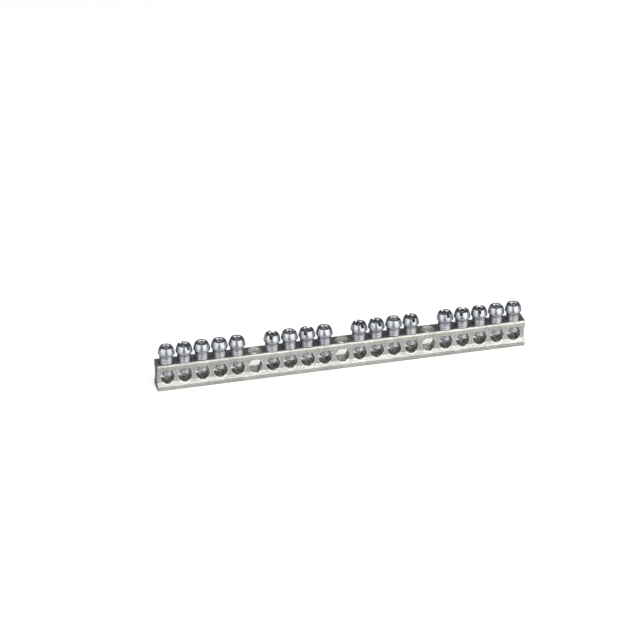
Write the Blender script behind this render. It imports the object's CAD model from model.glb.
import math
import bmesh
import bpy
import numpy as np
from mathutils import Matrix, Vector


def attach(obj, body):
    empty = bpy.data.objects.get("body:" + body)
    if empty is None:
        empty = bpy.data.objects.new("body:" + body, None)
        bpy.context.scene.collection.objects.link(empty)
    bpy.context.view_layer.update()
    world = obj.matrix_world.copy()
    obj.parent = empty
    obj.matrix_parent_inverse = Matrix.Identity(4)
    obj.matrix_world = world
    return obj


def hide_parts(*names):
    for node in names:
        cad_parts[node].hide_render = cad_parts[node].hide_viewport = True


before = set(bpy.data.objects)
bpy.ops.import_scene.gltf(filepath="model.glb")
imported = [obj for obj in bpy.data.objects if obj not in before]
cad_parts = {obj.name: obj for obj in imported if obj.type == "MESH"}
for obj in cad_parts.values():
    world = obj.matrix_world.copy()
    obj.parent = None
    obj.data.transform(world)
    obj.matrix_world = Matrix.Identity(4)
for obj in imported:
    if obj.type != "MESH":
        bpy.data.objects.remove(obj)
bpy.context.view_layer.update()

MM = 0.001

# ---------------------------------------------------------------- sizes in mm, as in the part
PITCH = 7.9375
MIDDLE_POSITION = 11
BAR_HALF_LENGTH = 84.1
WIRE_Z = 6.05
WIRE_R = 3.175
BORE_R = 3.15
THREAD_LEAD = 25.4 / 28
TIP_HEIGHT = 6.3
TIP_R = 2.1
SHANK_LENGTH = 9.7
HEAD_HEIGHT = 4.13
SLOT_WIDTH = 1.4
SLOT_DEPTH = 1.3
DISH_R = 1.9
DISH_DEPTH = 0.5
CROSS_LENGTH = 3.4
CROSS_WIDTH = 1.2
RECESS_R = 1.4
RECESS_FLOOR_R = 0.7
RECESS_DEPTH = 2.4
# position along the bar: turn of the screw's slot in degrees
TURNS = {1: 0, 2: 115, 3: 0, 4: 155, 5: 155, 7: 68, 8: 18, 9: 62, 10: 158, 12: 105, 13: 105,
         14: 12, 15: 98, 17: 102, 18: 65, 19: 76, 20: 15, 21: 150}

# ---------------------------------------------------------------- sizes in mm of the scene alone
THREAD_CREST_R = 3.08
THREAD_ROOT_R = 2.68
# the plain neck that joins the thread to the head
NECK_R = 3.02
NECK_START = SHANK_LENGTH - 0.2
NECK_BLEND = 0.4
SHANK_TOP = SHANK_LENGTH + 0.7
# radius and height above the head's underside
HEAD_PROFILE = [(0.0, 0.56), (2.9, 0.56), (3.05, 0.55), (3.35, 0.66), (3.55, 0.76), (3.68, 0.86),
                (3.74, 0.98), (3.745, 1.12), (3.72, 1.4), (3.67, 1.75), (3.6, 2.1), (3.52, 2.45),
                (3.42, 2.8), (3.3, 3.15), (3.16, 3.5), (3.02, 3.8), (2.93, 3.97), (2.84, 4.08),
                (2.72, HEAD_HEIGHT), (0.0, HEAD_HEIGHT)]
# how far the cutting tools of the recess pass the top of the head, and the slot's tool its sides
TOOL_OVER = 1.0
SLOT_TOOL_LENGTH = 9.0
SLOT_TOOL_HEIGHT = 3.0
# heights between which the walls of the vertical holes turn from plain to threaded
WALL_TURNS = (8.6, 9.4)
# where the wire holes cut the shoulders of the foot: heights, and depths from the middle
NICK_HEIGHTS = (3.4, 3.9)
NICK_DEPTHS = (1.9, 2.3)

# ---------------------------------------------------------------- camera: angles in degrees
CAMERA_AZIMUTH = 14.907
CAMERA_ELEVATION = 29.358
CAMERA_ROLL = 0.407
# the part's origin seen from the camera in mm: to the right, down and away
CAMERA_SHIFT = (9.450, 19.688, 1577.689)
SENSOR_WIDTH = 36
FOCAL_LENGTH = 199.64486

# ---------------------------------------------------------------- light and floor, in metres
# name, degrees aside from the camera's bearing, degrees above the horizon, roll, distance,
# width, height and radiance; past 90 degrees a light stands behind the part
PANELS = (("softbox_left", -43, 41, 17, 1.0, 1.36, 1.8, 1.9),
          ("softbox_right", 43, 41, -17, 1.0, 1.36, 1.8, 2.4),
          ("fill", 0, 115, 0, 1.1, 1.6, 0.5, 0.4))
WORLD_LIGHT = 0.09
FLOOR_HALF_SIZE = 1.0
# where the floor ends in front of the part
FLOOR_FRONT = 0.06
FLOOR_COLOUR = 0.62
# the floor's own light, as the camera sees it and as glossy pieces see it
FLOOR_SEEN = 0.52
FLOOR_REFLECTED = 0.16

# ---------------------------------------------------------------- colours of the bar and the screws
BAR_DARK = (0.35, 0.34, 0.315)
BAR_LIGHT = (0.57, 0.56, 0.53)
SCRATCHED = (0.78, 0.77, 0.75)
WALL_DARK = (0.06, 0.058, 0.052)
WALL_LIGHT = (0.66, 0.65, 0.62)
WELL_DARK = (0.10, 0.098, 0.09)
WELL_LIGHT = (0.62, 0.61, 0.58)
THREAD_CREST = (0.80, 0.79, 0.76)
NICK = (0.9, 0.89, 0.87)
HOLE_RIM = (0.82, 0.81, 0.79)
BOTTOM_EDGE = (0.24, 0.235, 0.225)
SAWN_END = (0.085, 0.083, 0.08)
ZINC_DARK = (0.36, 0.372, 0.40)
ZINC_LIGHT = (0.47, 0.483, 0.505)
ZINC_DULL = (0.34, 0.345, 0.35)
ZINC_SHADED = (0.16, 0.165, 0.18)


def set_camera():
    az, el, roll = (math.radians(v) for v in (CAMERA_AZIMUTH, CAMERA_ELEVATION, CAMERA_ROLL))
    turn = np.array([[math.cos(az), -math.sin(az), 0],
                     [math.sin(az), math.cos(az), 0],
                     [0, 0, 1]])
    level = np.array([[1, 0, 0], [0, 0, -1], [0, 1, 0]])
    tilt = np.array([[1, 0, 0],
                     [0, math.cos(el), -math.sin(el)],
                     [0, math.sin(el), math.cos(el)]])
    spin = np.array([[math.cos(roll), -math.sin(roll), 0],
                     [math.sin(roll), math.cos(roll), 0],
                     [0, 0, 1]])
    axes = spin @ tilt @ level @ turn
    cam = bpy.data.objects.new("camera", bpy.data.cameras.new("camera"))
    bpy.context.scene.collection.objects.link(cam)
    cam.data.sensor_width = SENSOR_WIDTH
    cam.data.lens = FOCAL_LENGTH
    cam.data.clip_start = 0.05
    cam.data.clip_end = 20
    world = Matrix((axes[0], -axes[1], -axes[2])).transposed().to_4x4()
    world.translation = Vector(-axes.T @ np.array(CAMERA_SHIFT) * MM)
    cam.matrix_world = world
    bpy.context.scene.camera = cam


# ---------------------------------------------------------------- node helpers
class Nodes:
    """Short names for the few node kinds that the materials use."""

    def __init__(self, tree):
        self.tree = tree

    def new(self, kind, **settings):
        node = self.tree.nodes.new(kind)
        for name, value in settings.items():
            setattr(node, name, value)
        return node

    def put(self, socket, value):
        if isinstance(value, bpy.types.NodeSocket):
            self.tree.links.new(value, socket)
        elif value is not None:
            socket.default_value = value

    def math(self, op, *values):
        node = self.new("ShaderNodeMath", operation=op)
        for socket, value in zip(node.inputs, values):
            self.put(socket, value)
        return node.outputs[0]

    def plus(self, first, *others):
        for value in others:
            first = self.math("ADD", first, value)
        return first

    def times(self, first, *others):
        for value in others:
            first = self.math("MULTIPLY", first, value)
        return first

    def flip(self, mask):
        return self.math("SUBTRACT", 1.0, mask)

    def length(self, a, b):
        return self.math("SQRT", self.plus(self.times(a, a), self.times(b, b)))

    def split(self, vector):
        node = self.new("ShaderNodeSeparateXYZ")
        self.put(node.inputs[0], vector)
        return node.outputs

    def noise(self, vector, scale, detail, rough=0.55, distort=0.0):
        node = self.new("ShaderNodeTexNoise")
        self.put(node.inputs["Vector"], vector)
        node.inputs["Scale"].default_value = scale
        node.inputs["Detail"].default_value = detail
        node.inputs["Roughness"].default_value = rough
        node.inputs["Distortion"].default_value = distort
        return node.outputs["Fac"]

    def streaks(self, vector, scale, detail, rough=0.6, distort=0.0):
        """Noise that has its own scale along each axis."""
        node = self.new("ShaderNodeMapping")
        self.put(node.inputs["Vector"], vector)
        node.inputs["Scale"].default_value = scale
        return self.noise(node.outputs[0], 1, detail, rough, distort)

    def step(self, value, low, high, to_low=0.0, to_high=1.0):
        """Smooth change from one level to another; low may be above high."""
        node = self.new("ShaderNodeMapRange", interpolation_type="SMOOTHSTEP")
        for name, v in (("Value", value), ("From Min", low), ("From Max", high),
                        ("To Min", to_low), ("To Max", to_high)):
            self.put(node.inputs[name], v)
        return node.outputs[0]

    def step_mm(self, value, low, high):
        return self.step(value, low * MM, high * MM)

    def mix(self, factor, a, b):
        node = self.new("ShaderNodeMix", data_type="RGBA")
        self.put(node.inputs["Factor"], factor)
        for socket, value in ((node.inputs[6], a), (node.inputs[7], b)):
            self.put(socket, (*value, 1) if isinstance(value, tuple) else value)
        return node.outputs[2]

    def bump(self, height, distance, strength, bevel_radius):
        """Relief over edges that look slightly rounded."""
        edges = self.new("ShaderNodeBevel", samples=6)
        edges.inputs["Radius"].default_value = bevel_radius
        node = self.new("ShaderNodeBump")
        self.put(node.inputs["Height"], height)
        node.inputs["Distance"].default_value = distance
        node.inputs["Strength"].default_value = strength
        self.put(node.inputs["Normal"], edges.outputs[0])
        return node.outputs[0]


def start(name):
    mat = bpy.data.materials.new(name)
    mat.use_nodes = True
    mat.node_tree.nodes.clear()
    n = Nodes(mat.node_tree)
    out = n.new("ShaderNodeOutputMaterial")
    shader = n.new("ShaderNodeBsdfPrincipled")
    mat.node_tree.links.new(shader.outputs[0], out.inputs[0])
    return mat, n, shader.inputs


# ---------------------------------------------------------------- bar
def bar_material():
    mat, n, sh = start("bar_metal")
    place = n.new("ShaderNodeTexCoord").outputs["Object"]
    facing = n.new("ShaderNodeNewGeometry").outputs["True Normal"]
    x, y, z = n.split(place)
    nx, ny, nz = (n.math("ABSOLUTE", part) for part in n.split(facing))

    # distance from the nearest wire hole's axis, and from the nearest vertical hole's axis
    across = n.math("WRAP", x, PITCH * MM / 2, -PITCH * MM / 2)
    wire = n.length(across, n.math("SUBTRACT", z, WIRE_Z * MM))
    bore = n.length(across, y)

    # masks: wire hole walls, vertical hole walls, the sawn ends and a worn rim at the wire holes
    side = n.step(ny, 0.3, 0.6)
    wall = n.times(n.flip(side), n.step_mm(wire, WIRE_R + 0.12, WIRE_R + 0.03))
    shaft = n.times(n.step(nz, 0.6, 0.3), n.step_mm(bore, BORE_R + 0.12, BORE_R + 0.03))
    drilled = n.math("MAXIMUM", wall, shaft)
    end = n.times(n.step(nx, 0.6, 0.8),
                  n.step_mm(n.math("ABSOLUTE", x), BAR_HALF_LENGTH - 0.3, BAR_HALF_LENGTH - 0.1))
    ragged = n.plus(wire, n.times(n.noise(place, 900, 2), 0.12 * MM))
    rim = n.times(side, n.step_mm(ragged, WIRE_R + 0.42, WIRE_R + 0.16))

    # outer faces: long die lines, short upright grain, clouds and stray scratches
    lines = n.streaks(place, (45, 3000, 3000), 3)
    upright = n.streaks(place, (2600, 900, 420), 3, 0.65)
    grain = n.noise(place, 2300, 4, 0.7)
    clouds = n.noise(place, 160, 3, 0.6)
    blotch = n.noise(place, 1500, 2, 0.5)
    scratch = n.step(n.streaks(place, (240, 5200, 2100), 1, 0.4, 0.6), 0.69, 0.76)
    saw = n.streaks(place, (200, 500, 3800), 3, 0.6, 0.2)
    tone = n.plus(n.plus(n.times(clouds, 0.25), n.times(lines, 0.15)),
                  n.plus(n.times(upright, 0.3), n.times(blotch, 0.3)))

    # drilled walls: rings and streaks in the wire holes, a thread in the vertical holes
    rings = n.streaks(place, (60, 6500, 60), 2)
    streak = n.streaks(place, (1300, 160, 1300), 2)
    well_streak = n.streaks(place, (2600, 2600, 150), 2)
    turn = n.math("ARCTAN2", y, across)
    thread = n.math("SINE", n.plus(n.times(z, 2 * math.pi / (THREAD_LEAD * MM)), turn))
    thread = n.times(thread, shaft)
    in_well = n.times(shaft, n.step_mm(z, *reversed(WALL_TURNS)))
    crests = n.times(n.step(thread, -0.6, 0.6, 0.15, 0.85), n.step_mm(z, *WALL_TURNS))
    nick = n.times(n.step_mm(z, *reversed(NICK_HEIGHTS)),
                   n.step_mm(n.math("ABSOLUTE", y), *NICK_DEPTHS))

    cut = n.mix(n.step(streak, 0.44, 0.6), WALL_DARK, WALL_LIGHT)
    cut = n.mix(in_well, cut, n.mix(n.step(well_streak, 0.42, 0.56), WELL_DARK, WELL_LIGHT))
    cut = n.mix(n.times(shaft, crests), cut, THREAD_CREST)
    cut = n.mix(n.times(nick, 0.8), cut, NICK)
    colour = n.mix(n.step(tone, 0.38, 0.62), BAR_DARK, BAR_LIGHT)
    colour = n.mix(n.times(scratch, 0.4), colour, SCRATCHED)
    colour = n.mix(drilled, colour, cut)
    colour = n.mix(n.times(rim, 0.7), colour, HOLE_RIM)
    colour = n.mix(n.times(n.step_mm(z, 0.9, 0.1), 0.5), colour, BOTTOM_EDGE)
    colour = n.mix(n.times(end, n.step(saw, 0.3, 0.7, 0.75, 1.0)), colour, SAWN_END)
    n.put(sh["Base Color"], colour)
    n.put(sh["Metallic"], n.flip(n.times(drilled, 0.45)))
    rough = n.math("SUBTRACT", n.step(tone, 0.38, 0.62, 0.47, 0.36), n.times(rim, 0.1))
    n.put(sh["Roughness"], n.plus(rough, n.times(end, 0.12)))

    outer = n.flip(n.math("MAXIMUM", drilled, end))
    relief = n.times(outer, n.plus(n.times(lines, 0.45),
                                   n.plus(n.times(upright, 0.3), n.times(grain, 0.4))))
    relief = n.plus(relief,
                    n.times(drilled, n.times(rings, 1.5)),
                    n.times(wall, n.times(streak, 1.5)),
                    n.times(thread, 3.0),
                    n.times(end, n.times(saw, 2.0)))
    relief = n.math("SUBTRACT", relief, n.times(scratch, 0.3))
    n.put(sh["Normal"], n.bump(relief, 0.03 * MM, 0.8, 0.22 * MM))
    return mat


def dress_bar():
    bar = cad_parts["terminal_bar"]
    bar.data.materials.clear()
    bar.data.materials.append(bar_material())


# ---------------------------------------------------------------- screws
def screw_material():
    mat, n, sh = start("screw_zinc")
    place = n.new("ShaderNodeTexCoord").outputs["Object"]
    # each screw has its own part of the noise
    offset = n.new("ShaderNodeVectorMath", operation="ADD")
    n.put(offset.inputs[0], place)
    n.put(offset.inputs[1], n.new("ShaderNodeObjectInfo").outputs["Location"])
    spot = offset.outputs[0]
    z = n.split(place)[2]
    clouds = n.noise(spot, 420, 3, 0.6)
    grain = n.noise(spot, 5200, 3, 0.6)
    blotch = n.noise(spot, 1100, 4, 0.65)
    shank = n.step_mm(z, SHANK_TOP, SHANK_TOP - 0.3)
    neck = n.times(n.step_mm(z, SHANK_LENGTH - 1.1, SHANK_LENGTH - 0.5),
                   n.step_mm(z, SHANK_LENGTH + 0.9, SHANK_LENGTH + 0.5))
    colour = n.mix(n.step(clouds, 0.3, 0.7), ZINC_DARK, ZINC_LIGHT)
    colour = n.mix(n.step(blotch, 0.54, 0.7, 0.0, 0.6), colour, ZINC_DULL)
    colour = n.mix(n.times(neck, 0.45), colour, ZINC_SHADED)
    n.put(sh["Base Color"], colour)
    sh["Specular Tint"].default_value = (0.45, 0.46, 0.5, 1)
    sh["Metallic"].default_value = 1.0
    n.put(sh["Roughness"], n.plus(n.step(blotch, 0.3, 0.7, 0.24, 0.36), n.times(shank, 0.05)))
    relief = n.plus(n.times(grain, 0.5), n.times(blotch, 0.8))
    n.put(sh["Normal"], n.bump(relief, 0.02 * MM, 0.7, 0.12 * MM))
    return mat


def lathe(bm, profile, segments):
    """Adds a closed turned shell whose profile starts and ends on the axis."""
    loops = []
    for r, z in profile[1:-1]:
        loops.append([bm.verts.new((r * math.cos(a), r * math.sin(a), z))
                      for a in (2 * math.pi * i / segments for i in range(segments))])
    low = bm.verts.new((0, 0, profile[0][1]))
    high = bm.verts.new((0, 0, profile[-1][1]))
    for i in range(segments):
        j = (i + 1) % segments
        bm.faces.new((low, loops[0][j], loops[0][i]))
        bm.faces.new((high, loops[-1][i], loops[-1][j]))
        for a, b in zip(loops, loops[1:]):
            bm.faces.new((a[i], a[j], b[j], b[i]))


def mesh_object(name, bm):
    mesh = bpy.data.meshes.new(name)
    bmesh.ops.recalc_face_normals(bm, faces=bm.faces)
    bm.to_mesh(mesh)
    bm.free()
    obj = bpy.data.objects.new(name, mesh)
    bpy.context.scene.collection.objects.link(obj)
    return obj


def turned(name, profile, segments):
    bm = bmesh.new()
    lathe(bm, profile, segments)
    return mesh_object(name, bm)


def box(name, size, centre):
    bm = bmesh.new()
    for v in bmesh.ops.create_cube(bm, size=1.0)["verts"]:
        v.co = Vector(co * length + middle for co, length, middle in zip(v.co, size, centre))
    return mesh_object(name, bm)


def cut_head():
    """The head with its slot, cross arm and tapered middle."""
    head = turned("head_blank", [(r, z + SHANK_LENGTH) for r, z in HEAD_PROFILE], 96)
    top = SHANK_LENGTH + HEAD_HEIGHT
    over = top + TOOL_OVER
    arms_middle = (0, 0, top - SLOT_DEPTH + SLOT_TOOL_HEIGHT / 2)
    taper = (RECESS_R - RECESS_FLOOR_R) / RECESS_DEPTH
    tools = [
        box("slot_tool", (SLOT_TOOL_LENGTH, SLOT_WIDTH, SLOT_TOOL_HEIGHT), arms_middle),
        box("cross_tool", (CROSS_WIDTH, CROSS_LENGTH, SLOT_TOOL_HEIGHT), arms_middle),
        turned("recess_tool",
               [(0, top - RECESS_DEPTH - 0.25), (RECESS_FLOOR_R, top - RECESS_DEPTH),
                (RECESS_R, top), (RECESS_R + taper * TOOL_OVER, over), (0, over)], 40),
        turned("dish_tool",
               [(0, top - DISH_DEPTH), (DISH_R - 0.15, top - DISH_DEPTH), (DISH_R, top - 0.1),
                (DISH_R + 0.1, top), (DISH_R + 0.1, over), (0, over)], 64),
    ]
    for tool in tools:
        cut = head.modifiers.new(tool.name, "BOOLEAN")
        cut.operation = "DIFFERENCE"
        cut.solver = "EXACT"
        cut.object = tool
    graph = bpy.context.evaluated_depsgraph_get()
    result = bpy.data.meshes.new_from_object(head.evaluated_get(graph))
    for obj in (head, *tools):
        bpy.data.objects.remove(obj)
    return result


def thread_shell(bm, segments=56):
    """The shank: one helical thread, chamfered at the tip and run out at the head."""
    crest, root = THREAD_CREST_R, THREAD_ROOT_R
    # radius at equal steps along one lead
    shape = [root, root + 0.02, root + 0.22, crest - 0.05, crest, crest - 0.05, root + 0.22,
             root + 0.02]
    rows = len(shape)
    count = int(rows * (SHANK_TOP + 2 * THREAD_LEAD) / THREAD_LEAD)
    grid = []
    for k in range(count + 1):
        row = []
        for j in range(segments):
            z = THREAD_LEAD * (k / rows + j / segments) - THREAD_LEAD
            z = min(max(z, 0.0), SHANK_TOP)
            r = min(shape[k % rows], TIP_R + z)
            runout = z - NECK_START
            if runout > 0:
                r += (NECK_R - r) * min(runout / NECK_BLEND, 1.0)
            a = 2 * math.pi * j / segments
            row.append(bm.verts.new((r * math.cos(a), r * math.sin(a), z)))
        grid.append(row)
    for k in range(count):
        low, high = grid[k], grid[k + 1]
        for j in range(segments - 1):
            bm.faces.new((low[j], low[j + 1], high[j + 1], high[j]))
        # the last column meets the first one a whole lead higher
        if k + rows + 1 <= count:
            bm.faces.new((low[-1], grid[k + rows][0], grid[k + rows + 1][0], high[-1]))
    bmesh.ops.remove_doubles(bm, verts=bm.verts, dist=1e-5)
    bmesh.ops.dissolve_degenerate(bm, edges=bm.edges, dist=1e-6)
    rim = [e for e in bm.edges if e.is_boundary]
    bmesh.ops.holes_fill(bm, edges=rim, sides=0)


def screw_mesh(material):
    bm = bmesh.new()
    thread_shell(bm)
    bm.from_mesh(cut_head())
    bmesh.ops.scale(bm, vec=(MM, MM, MM), verts=bm.verts)
    bmesh.ops.recalc_face_normals(bm, faces=bm.faces)
    for face in bm.faces:
        face.smooth = True
    for edge in bm.edges:
        if len(edge.link_faces) == 2 and edge.calc_face_angle(0) > math.radians(38):
            edge.smooth = False
    mesh = bpy.data.meshes.new("terminal_screw")
    bm.to_mesh(mesh)
    bm.free()
    mesh.materials.append(material)
    return mesh


def add_screws():
    blank = screw_mesh(screw_material())
    for p, turn in TURNS.items():
        mesh = blank.copy()
        mesh.transform(Matrix.Rotation(math.radians(turn), 4, "Z"))
        obj = bpy.data.objects.new(f"screw_dressed_{p:02d}", mesh)
        bpy.context.scene.collection.objects.link(obj)
        obj.location = ((p - MIDDLE_POSITION) * PITCH * MM, 0, TIP_HEIGHT * MM)
        bpy.context.view_layer.update()
        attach(obj, f"screw_{p:02d}")
        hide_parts(f"terminal_screw_{p:02d}")


# ---------------------------------------------------------------- stage
def floor_material():
    """A pale floor: its own shading plus enough of its own light to be white in the open."""
    mat, n, sh = start("floor_paper")
    sh["Base Color"].default_value = (FLOOR_COLOUR, FLOOR_COLOUR, FLOOR_COLOUR, 1)
    sh["Roughness"].default_value = 0.9
    sh["Specular IOR Level"].default_value = 0.1
    path = n.new("ShaderNodeLightPath").outputs
    direct = n.math("MAXIMUM", path["Is Camera Ray"], path["Is Transmission Ray"])
    sh["Emission Color"].default_value = (1, 1, 1, 1)
    n.put(sh["Emission Strength"], n.plus(n.times(direct, FLOOR_SEEN),
                                          n.times(path["Is Glossy Ray"], FLOOR_REFLECTED)))
    return mat


def panel(name, aside, over, roll, distance, width, height, radiance):
    """A soft rectangle of light that faces the origin and that the camera doesn't see."""
    a, t = math.radians(aside), math.radians(over)
    bearing = math.radians(CAMERA_AZIMUTH)
    facing = Matrix(((-math.cos(a), 0, math.sin(a)),
                     (math.sin(a) * math.cos(t), -math.sin(t), math.cos(a) * math.cos(t)),
                     (math.sin(a) * math.sin(t), math.cos(t), math.cos(a) * math.sin(t))))
    to_world = Matrix(((math.cos(bearing), -math.sin(bearing), 0),
                       (-math.sin(bearing), -math.cos(bearing), 0), (0, 0, 1)))
    axes = to_world @ facing @ Matrix.Rotation(math.radians(roll), 3, "Z")
    light = bpy.data.lights.new(name, "AREA")
    light.shape = "RECTANGLE"
    light.size = width
    light.size_y = height
    light.energy = radiance * math.pi * width * height
    obj = bpy.data.objects.new(name, light)
    bpy.context.scene.collection.objects.link(obj)
    obj.matrix_world = Matrix.Translation(axes.col[2] * distance) @ axes.to_4x4()
    obj.visible_camera = False


def set_stage():
    bm = bmesh.new()
    bmesh.ops.create_grid(bm, x_segments=1, y_segments=1, size=FLOOR_HALF_SIZE)
    floor = mesh_object("floor", bm)
    floor.location = (0, FLOOR_HALF_SIZE - FLOOR_FRONT, 0)
    floor.data.materials.append(floor_material())

    world = bpy.data.worlds.new("studio")
    bpy.context.scene.world = world
    world.use_nodes = True
    world.node_tree.nodes.clear()
    n = Nodes(world.node_tree)
    out = n.new("ShaderNodeOutputWorld")
    back = n.new("ShaderNodeBackground")
    path = n.new("ShaderNodeLightPath")
    world.node_tree.links.new(back.outputs[0], out.inputs[0])
    back.inputs["Color"].default_value = (1, 1, 1, 1)
    n.put(back.inputs["Strength"],
          n.step(path.outputs["Is Camera Ray"], 0, 1, WORLD_LIGHT, 1.0))

    for settings in PANELS:
        panel(*settings)


set_camera()
dress_bar()
add_screws()
set_stage()
bpy.context.scene.view_settings.view_transform = "Standard"
